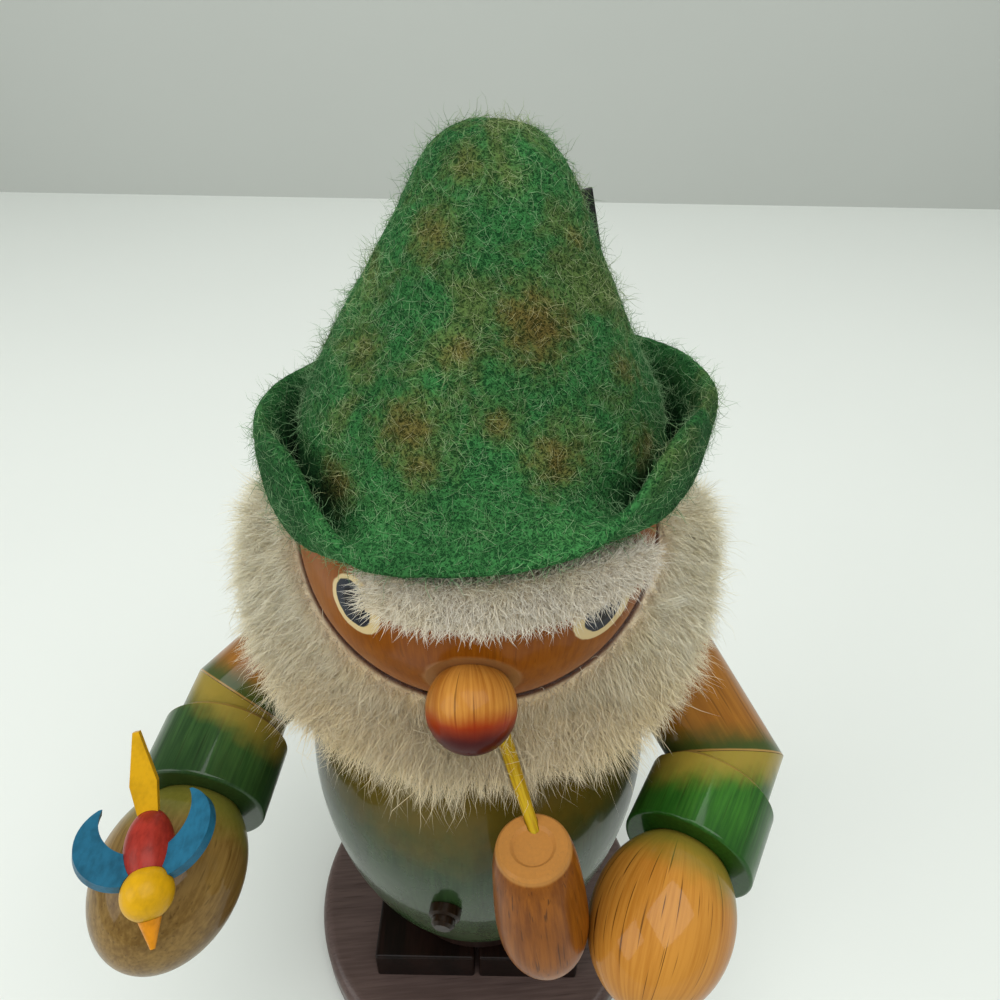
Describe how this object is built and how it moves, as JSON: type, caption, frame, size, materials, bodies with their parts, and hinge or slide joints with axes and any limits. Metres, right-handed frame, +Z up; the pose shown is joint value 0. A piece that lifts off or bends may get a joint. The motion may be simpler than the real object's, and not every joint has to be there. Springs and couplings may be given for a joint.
{
  "type": "incense smoker figure",
  "caption": "Turned wooden bearded figure with felt hat, pipe and small bird; the hollow upper part lifts off a footed base that holds an incense cone, and smoke leaves by the mouth.",
  "frame": {"origin": "centre of the base plate's underside", "axes": "+Z up along the turned axis, -Y the way the face looks, +X towards the figure's left hand"},
  "size_m": [0.1366, 0.1061, 0.2126],
  "materials": {
    "dark_brown_wood": "satin brown stain under clear lacquer",
    "plain_beech": "bare",
    "tin_sheet": "tinned sheet, slightly dull",
    "green_lacquer": "high gloss, sprayed dark green over brown",
    "face_lacquer": "glossy clear lacquer over orange-brown stain",
    "red_nose_lacquer": "glossy clear lacquer over red stain",
    "white_fur": "long off-white fur",
    "green_felt": "matte wool felt with brown mottling",
    "black_strip": "matte",
    "honey_lacquer": "glossy clear lacquer over honey stain",
    "cuff_green": "glossy transparent green lacquer",
    "quill_yellow": "semi-gloss, slightly see-through",
    "bird_red": "painted, semi-gloss",
    "bird_yellow": "painted, semi-gloss",
    "bird_orange": "painted, semi-gloss",
    "bird_blue": "painted, semi-gloss"
  },
  "bodies": {
    "base": {"base_plate": "dark_brown_wood", "right_shoe": "dark_brown_wood", "left_shoe": "dark_brown_wood", "shoe_dowels": "plain_beech", "leg_dowels": "plain_beech", "trousers": "dark_brown_wood", "incense_tray": "tin_sheet", "tray_tack": "tin_sheet"},
    "figure": {"torso": "green_lacquer", "head": "face_lacquer", "nose": "red_nose_lacquer", "beard": "white_fur", "back_hair": "white_fur", "brow_fur": "white_fur", "felt_hat": "green_felt", "hat_strip": "black_strip", "right_upper_arm": "honey_lacquer", "left_upper_arm": "honey_lacquer", "right_forearm": "cuff_green", "left_forearm": "cuff_green", "right_hand": "honey_lacquer", "left_hand": "honey_lacquer", "right_shoulder_dowel": "plain_beech", "left_shoulder_dowel": "plain_beech", "right_elbow_dowel": "plain_beech", "left_elbow_dowel": "plain_beech", "pipe_stem": "quill_yellow", "pipe_bowl": "honey_lacquer", "bird_body": "bird_red", "bird_head": "bird_yellow", "bird_beak": "bird_orange", "bird_tail": "bird_yellow", "bird_right_wing": "bird_blue", "bird_left_wing": "bird_blue", "bird_peg": "plain_beech", "right_button": "dark_brown_wood", "left_button": "dark_brown_wood"}
  },
  "joints": [
    {"name": "figure_lift", "type": "slide", "parent": "base", "child": "figure", "axis": [0, 0, 1], "range_m": [0, 0.1]}
  ]
}
